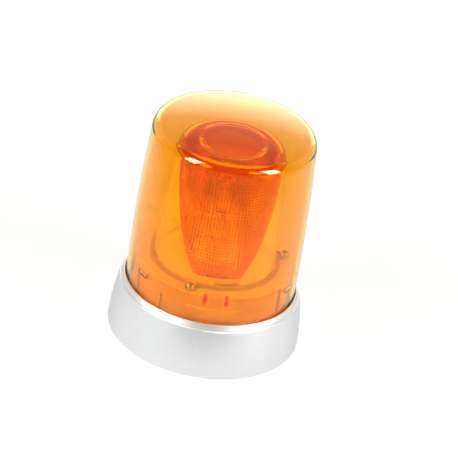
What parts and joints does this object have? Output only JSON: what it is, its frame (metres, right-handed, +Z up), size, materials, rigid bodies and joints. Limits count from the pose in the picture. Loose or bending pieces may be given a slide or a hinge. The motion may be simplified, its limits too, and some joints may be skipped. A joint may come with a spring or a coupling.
{
  "type": "strobe beacon",
  "caption": "Round xenon strobe beacon: amber see-through dome that twists off a cast silver base, over a gridded amber lens in a clear carrier.",
  "frame": {"origin": "middle of the foot, on the surface that the beacon stands on", "axes": "+Z up along the axis of base and dome, -Y towards the front panel of the drum"},
  "size_m": [0.15, 0.15, 0.1829],
  "materials": {
    "silver_paint": "satin silver paint on cast alloy",
    "amber_plastic": "clear amber, polished",
    "lens_amber": "clear amber, deeper than the dome",
    "clear_plastic": "water clear, polished outside",
    "drum_plastic": "fine moulded texture",
    "black_rubber": "matt",
    "brass": "turned",
    "zinc_steel": "zinc plated",
    "nickel": "nickel plated",
    "copper": "enamelled copper",
    "ceramic": "glazed white",
    "tube_glass": "clear",
    "fuse_glass": "clear",
    "board_laminate": "solder mask",
    "capacitor_sleeve": "shrunk sleeve",
    "ferrite": "sintered",
    "coil_resin": "dipped resin",
    "sink_aluminium": "extruded",
    "black_plastic": "moulded",
    "terminal_plastic": "moulded"
  },
  "bodies": {
    "base": {"base_housing": "silver_paint", "dome_seal": "black_rubber", "foot_gasket": "black_rubber", "cable_grommet": "black_rubber", "fixing_inserts": "brass", "chassis_drum": "drum_plastic", "inner_lens": "lens_amber", "lens_carrier": "clear_plastic", "lens_screws": "zinc_steel", "tube_socket": "ceramic", "tube_electrodes": "nickel", "xenon_tube": "tube_glass", "trigger_wire": "nickel", "tube_leads": "copper", "circuit_board": "board_laminate", "board_pillars": "brass", "board_screws": "zinc_steel", "storage_capacitor": "capacitor_sleeve", "transformer_core": "ferrite", "transformer_winding": "copper", "trigger_coil": "coil_resin", "heat_sink": "sink_aluminium", "power_transistor": "black_plastic", "transistor_screw": "zinc_steel", "fuse": "fuse_glass", "fuse_clips": "nickel", "terminal_block": "terminal_plastic", "terminal_screws": "zinc_steel"},
    "dome": {"dome": "amber_plastic"}
  },
  "joints": [
    {"name": "dome_twist", "type": "hinge", "parent": "base", "child": "dome", "pos_m": [0, 0, 0.04], "axis": [0, 0, 1], "range_deg": [0, 16]}
  ]
}
